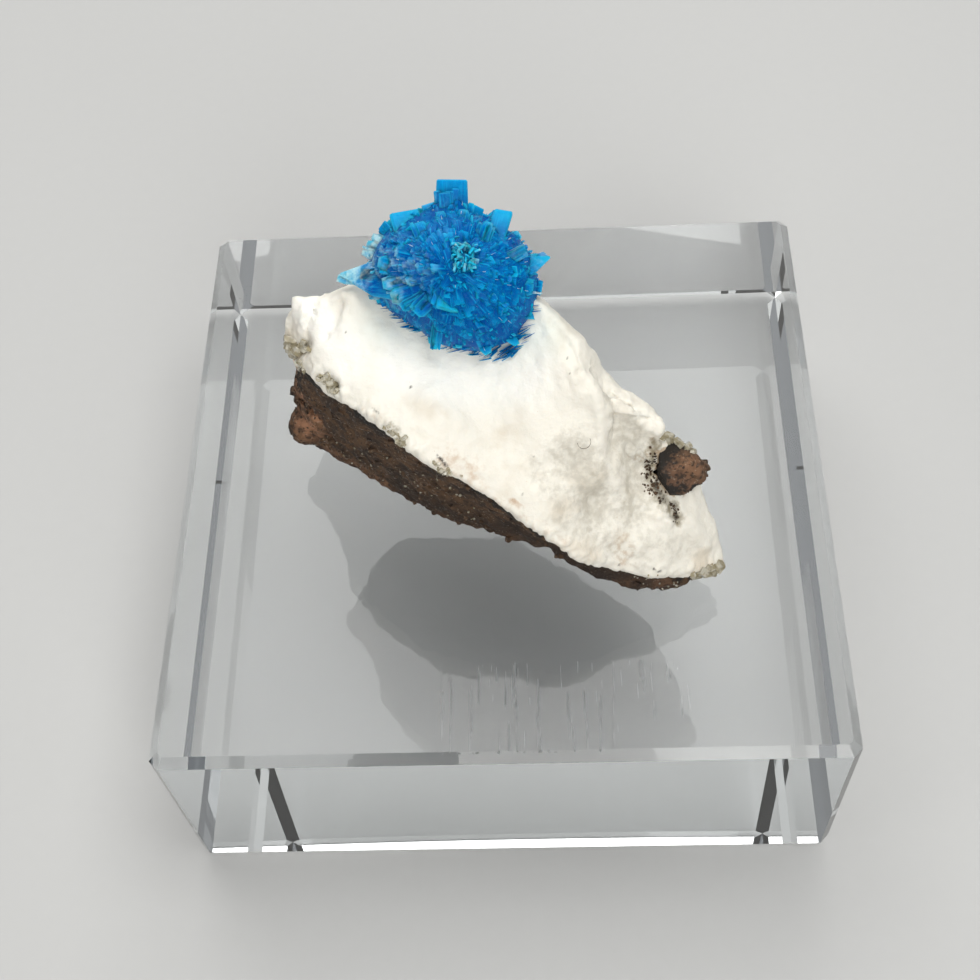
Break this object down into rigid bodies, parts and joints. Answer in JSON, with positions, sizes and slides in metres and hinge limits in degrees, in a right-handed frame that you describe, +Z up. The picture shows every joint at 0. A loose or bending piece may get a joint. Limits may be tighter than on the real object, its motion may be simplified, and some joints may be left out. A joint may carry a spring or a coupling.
{
  "type": "cavansite crystal specimen",
  "caption": "Blue cavansite rosette of radiating blades on a white zeolite crust over dark basalt, resting on a clear chamfered display block",
  "frame": {"origin": "centre of the display block's underside, on the surface it stands on", "axes": "+Z up; +X to the right and +Y away from a viewer who faces the white side of the specimen; both along the block's sides"},
  "size_m": [0.0508, 0.0508, 0.046],
  "materials": {
    "acrylic": "polished",
    "basalt": "matte",
    "zeolite": "matte",
    "cavansite": "gloss"
  },
  "bodies": {
    "root": {"acrylic_block": "acrylic", "basalt_matrix": "basalt", "zeolite_crust": "zeolite", "cavansite_rosette": "cavansite"}
  },
  "joints": []
}
